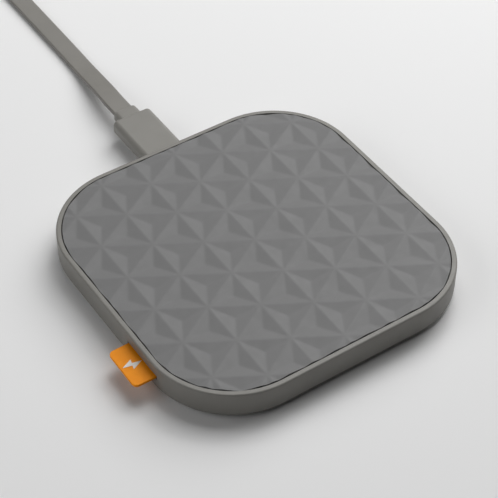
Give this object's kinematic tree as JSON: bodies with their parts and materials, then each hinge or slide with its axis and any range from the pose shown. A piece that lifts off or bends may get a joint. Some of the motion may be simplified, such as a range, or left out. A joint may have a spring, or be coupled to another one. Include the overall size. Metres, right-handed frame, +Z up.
{
  "type": "wireless charging pad",
  "caption": "Rounded-square wireless charging pad with a faceted grey top, a fabric tag and a flat USB lead that unplugs from the rear.",
  "frame": {"origin": "middle of the non-slip sheet's underside, which the pad rests on, below the pad's centre", "axes": "+Z up out of the charging face; +Y to the rear, where the lead plugs in; +X to the right seen from the front"},
  "size_m": [0.1273, 0.2665, 0.0092],
  "materials": {
    "housing": "soft-touch warm grey moulding",
    "mat": "matte neutral grey, faceted",
    "base": "fine texture, warm grey",
    "silicone": "matte dark grey",
    "tag": "orange woven label",
    "lead_grip": "soft warm grey overmoulding",
    "cord": "soft warm grey jacket",
    "tie": "soft silicone strap",
    "steel": "bright plated",
    "copper": "enamelled copper wire",
    "ferrite": "sintered, dull",
    "board": "green solder mask",
    "chip": "moulded package",
    "capacitor": "ceramic body",
    "insulator": "black insulating plastic",
    "foam": "closed-cell foam and adhesive"
  },
  "bodies": {
    "pad": {"rim_housing": "housing", "top_mat": "mat", "base_cover": "base", "non_slip_sheet": "silicone", "tag": "tag", "screw_1": "steel", "screw_2": "steel", "screw_3": "steel", "screw_4": "steel", "adhesive_ring": "foam", "charging_coil": "copper", "ferrite_disc": "ferrite", "foam_ring": "foam", "temperature_sensor": "chip", "coil_lead_1": "copper", "coil_lead_2": "copper", "circuit_board": "board", "controller_chip": "chip", "power_inductor": "chip", "power_switch_1": "chip", "power_switch_2": "chip", "input_capacitor_1": "capacitor", "input_capacitor_2": "capacitor", "resonant_capacitor_1": "capacitor", "resonant_capacitor_2": "capacitor", "resonant_capacitor_3": "capacitor", "resonant_capacitor_4": "capacitor", "usb_socket_tongue": "insulator", "usb_socket_shell": "steel"},
    "lead": {"plug_shell": "steel", "plug_insulator": "insulator", "plug_grip": "lead_grip", "plug_boot": "lead_grip", "cord_run": "cord", "cord_coil": "cord", "cord_middle": "cord", "cord_tail": "cord", "cord_tie": "tie", "far_plug_boot": "lead_grip", "far_plug_grip": "lead_grip", "far_plug_shell": "steel", "far_plug_insulator": "insulator"}
  },
  "joints": [
    {"name": "plug_pull", "type": "slide", "parent": "pad", "child": "lead", "axis": [0, 1, 0], "range_m": [0, 0.008]}
  ]
}
